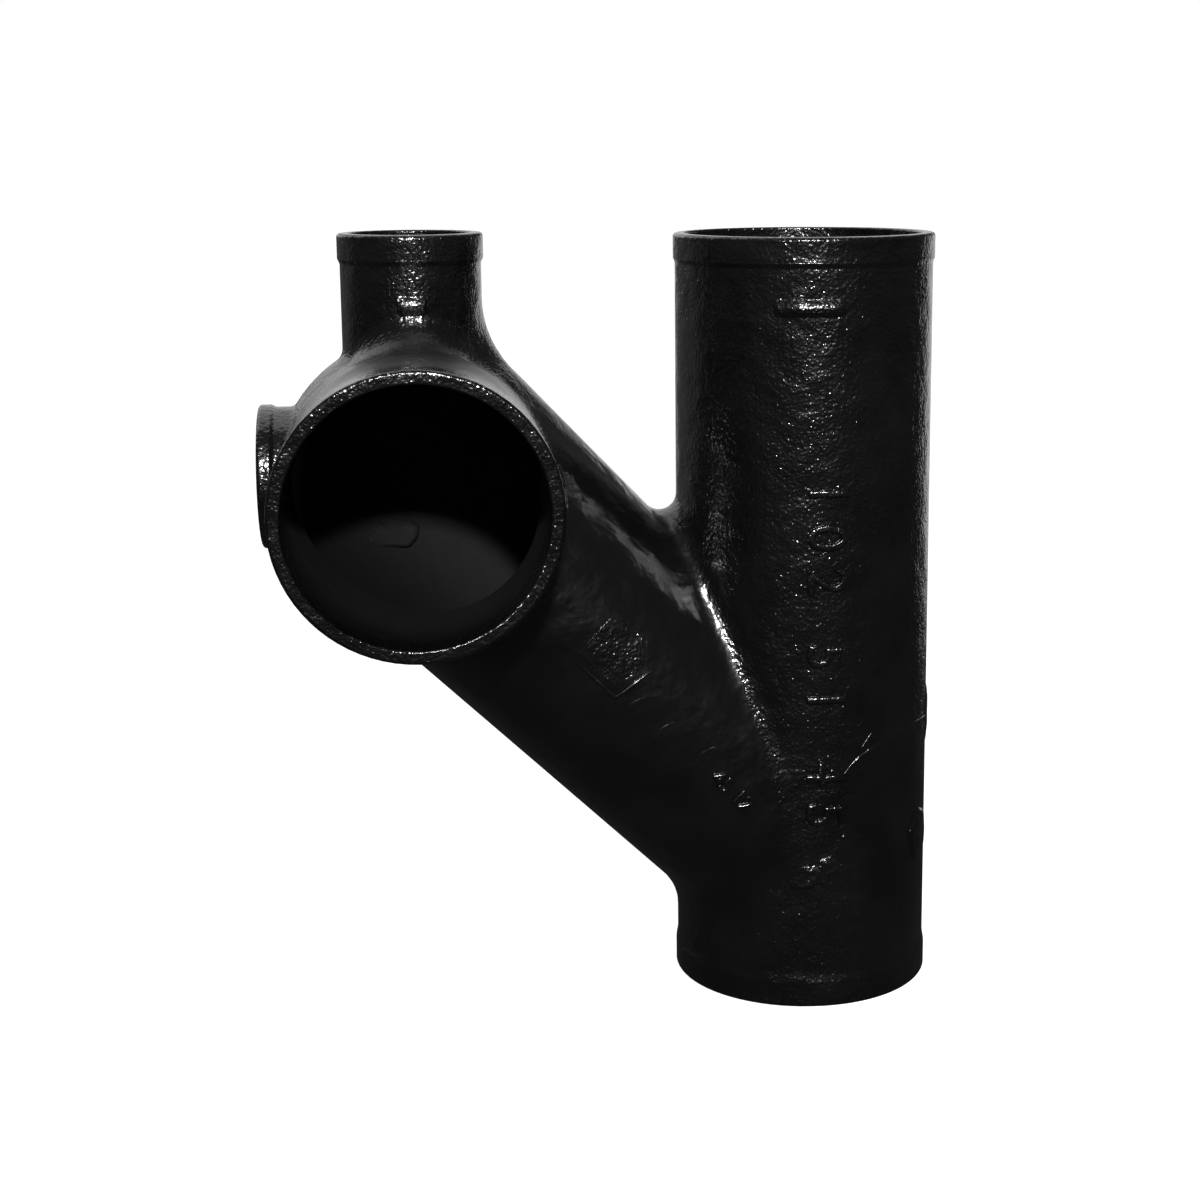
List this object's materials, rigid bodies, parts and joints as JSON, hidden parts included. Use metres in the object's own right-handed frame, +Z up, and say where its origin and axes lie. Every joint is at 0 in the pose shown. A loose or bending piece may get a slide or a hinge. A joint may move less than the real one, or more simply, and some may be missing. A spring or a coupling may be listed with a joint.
{
  "type": "double fixture fitting",
  "caption": "Cast iron double fixture drain fitting: upright stack with a 45 degree branch to a domed chamber that has a large front inlet, a small side inlet and a small vent on top.",
  "frame": {"origin": "centre of the stack's bottom end, on the stack's axis", "axes": "+Z up along the stack, -Y the way the large inlet faces, -X from the stack towards the chamber and the way the small side inlet faces"},
  "size_m": [0.2899, 0.1747, 0.3317],
  "materials": {
    "coated_iron": "glossy black bituminous coating over a fine sand-cast skin"
  },
  "bodies": {
    "root": {"fitting_casting": "coated_iron"}
  },
  "joints": []
}
